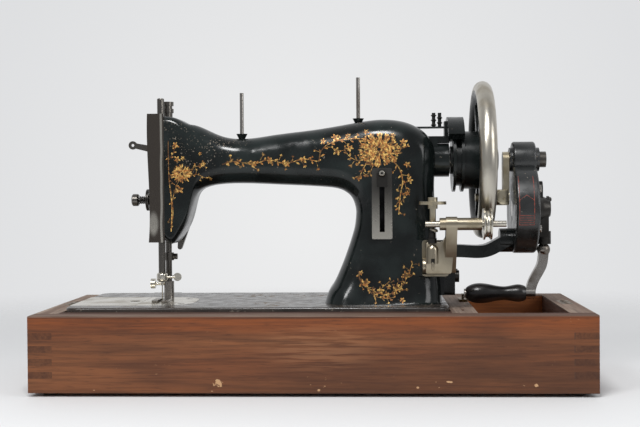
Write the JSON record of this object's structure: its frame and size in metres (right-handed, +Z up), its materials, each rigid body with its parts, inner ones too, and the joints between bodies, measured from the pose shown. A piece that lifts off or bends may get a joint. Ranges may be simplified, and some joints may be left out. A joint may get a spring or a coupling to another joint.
{
  "type": "hand-crank sewing machine",
  "caption": "Black enamelled sewing machine with a geared side crank and spoked handwheel, hinged at the rear of a long open wooden base with an accessory compartment.",
  "frame": {"origin": "middle of the wooden base's footprint, on the surface its feet stand on", "axes": "+X along the bed from the needle to the handwheel, +Y from the front to the hinged back edge, +Z up"},
  "size_m": [0.532, 0.23, 0.3064],
  "materials": {
    "black_enamel": "gloss black enamel, worn at the edges, gold flower sprays",
    "nickel": "worn nickel plate, slightly yellow",
    "steel": "satin steel",
    "walnut": "reddish brown varnish, worn rim",
    "black_wood": "black stained, satin",
    "rubber": "matte"
  },
  "bodies": {
    "base": {"base_front_board": "walnut", "base_back_board": "walnut", "base_left_board": "walnut", "base_right_board": "walnut", "base_floor_panel": "walnut", "front_rail": "walnut", "left_ledge": "walnut", "bridge_rail": "walnut", "divider_board": "walnut", "base_feet": "rubber", "lock_plates": "steel", "hinge_brackets": "steel"},
    "button": {"turn_button": "steel"},
    "head": {"bed": "black_enamel", "arm": "black_enamel", "face_plate": "nickel", "needle_plate": "nickel", "hinge_tongues": "steel", "stitch_plate": "nickel", "pulley_guard": "black_enamel", "winder_guide": "nickel", "winder_plate": "nickel", "spool_pins": "steel", "shaft_bushes": "steel", "needle_bar_bushes": "steel", "tension_discs": "nickel", "tension_spring": "steel", "gear_housing": "black_enamel", "gear_cover": "black_enamel", "crank_bracket": "black_enamel", "bracket_bolts": "steel", "hook_race": "steel"},
    "slide": {"slide_plate": "nickel"},
    "wheel": {"handwheel": "black_enamel", "main_shaft": "steel", "clutch_knob": "nickel"},
    "driver": {"drive_pinion": "steel", "driver_arm": "nickel"},
    "crank": {"crank_gear": "steel", "crank_hub": "nickel"},
    "folding_arm": {"crank_arm": "nickel"},
    "handle": {"crank_handle": "black_wood"},
    "needle_group": {"needle_bar": "steel", "needle_link": "steel", "needle_clamp": "nickel", "needle": "steel"},
    "take_up": {"take_up_lever": "nickel"},
    "tension": {"tension_nut": "nickel"},
    "presser": {"presser_bar": "steel", "presser_foot": "nickel", "presser_foot_screw": "nickel"},
    "pressure": {"pressure_screw": "nickel"},
    "lifter": {"presser_lifter": "nickel"},
    "stitch": {"stitch_lever": "nickel"},
    "winder": {"winder_frame": "nickel"},
    "spindle": {"winder_spindle": "nickel"},
    "cam": {"winder_cam": "nickel"},
    "feed": {"feed_dog": "steel"},
    "shuttle": {"shuttle_hook": "steel", "hook_shaft": "steel"}
  },
  "joints": [
    {"name": "head_tilt", "type": "hinge", "parent": "base", "child": "head", "pos_m": [0, 0.099, 0.0765], "axis": [-1, 0, 0], "range_deg": [0, 90]},
    {"name": "button_turn", "type": "hinge", "parent": "base", "child": "button", "pos_m": [0.1515, 0.027, 0.076], "axis": [0, 0, 1], "range_deg": [0, 90]},
    {"name": "plate_slide", "type": "slide", "parent": "head", "child": "slide", "axis": [-1, 0, 0], "range_m": [0, 0.055]},
    {"name": "wheel_turn", "type": "hinge", "parent": "head", "child": "wheel", "pos_m": [0.169, -0.008, 0.222], "axis": [1, 0, 0], "range_deg": [-288, 162]},
    {"name": "driver_turn", "type": "hinge", "parent": "head", "child": "driver", "pos_m": [0.1985, -0.008, 0.222], "axis": [1, 0, 0], "range_deg": [-288, 162]},
    {"name": "crank_turn", "type": "hinge", "parent": "head", "child": "crank", "pos_m": [0.21851, -0.008, 0.1728], "axis": [1, 0, 0], "range_deg": [-54, 96]},
    {"name": "handle_fold", "type": "hinge", "parent": "crank", "child": "folding_arm", "pos_m": [0.23031, -0.008, 0.0872], "axis": [0, 0, 1], "range_deg": [0, 180]},
    {"name": "handle_spin", "type": "hinge", "parent": "folding_arm", "child": "handle", "pos_m": [0.1985, -0.008, 0.0872], "axis": [1, 0, 0], "continuous": true},
    {"name": "needle_stroke", "type": "slide", "parent": "head", "child": "needle_group", "axis": [0, 0, 1], "range_m": [-0.004, 0.028]},
    {"name": "take_up_swing", "type": "hinge", "parent": "head", "child": "take_up", "pos_m": [-0.12998, -0.0267, 0.228], "axis": [0, 1, 0], "range_deg": [-40, 28]},
    {"name": "tension_turn", "type": "hinge", "parent": "head", "child": "tension", "pos_m": [-0.16698, -0.008, 0.18381], "axis": [-1, 0, 0], "range_deg": [-180, 180]},
    {"name": "lifter_swing", "type": "hinge", "parent": "head", "child": "lifter", "pos_m": [-0.13698, 0.01829, 0.16501], "axis": [0, -1, 0], "range_deg": [0, 75]},
    {"name": "presser_lift", "type": "slide", "parent": "head", "child": "presser", "axis": [0, 0, 1], "range_m": [0, 0.008]},
    {"name": "pressure_turn", "type": "hinge", "parent": "head", "child": "pressure", "pos_m": [-0.15348, 0.009, 0.26802], "axis": [0, 0, 1], "range_deg": [-180, 180]},
    {"name": "stitch_set", "type": "slide", "parent": "head", "child": "stitch", "axis": [0, 0, 1], "range_m": [-0.052, 0]},
    {"name": "winder_swing", "type": "hinge", "parent": "head", "child": "winder", "pos_m": [0.12801, -0.058, 0.118], "axis": [1, 0, 0], "range_deg": [-3, 10]},
    {"name": "winder_spin", "type": "hinge", "parent": "winder", "child": "spindle", "pos_m": [0.12801, -0.082, 0.1595], "axis": [1, 0, 0], "continuous": true},
    {"name": "cam_turn", "type": "hinge", "parent": "winder", "child": "cam", "pos_m": [0.116, -0.0725, 0.1595], "axis": [0, 0, 1], "continuous": true},
    {"name": "feed_stroke", "type": "slide", "parent": "head", "child": "feed", "axis": [0, 1, 0], "range_m": [-0.002, 0.002]},
    {"name": "shuttle_turn", "type": "hinge", "parent": "head", "child": "shuttle", "pos_m": [-0.16498, -0.008, 0.044], "axis": [1, 0, 0], "range_deg": [-100, 100]}
  ],
  "couplings": [
    {"joint": "driver_turn", "follows": "wheel_turn", "ratio": 1},
    {"joint": "crank_turn", "follows": "wheel_turn", "ratio": -0.33333},
    {"joint": "lifter_swing", "follows": "presser_lift", "rad_per_m": 163.6},
    {"joint": "cam_turn", "follows": "winder_spin", "ratio": 0.033333}
  ]
}
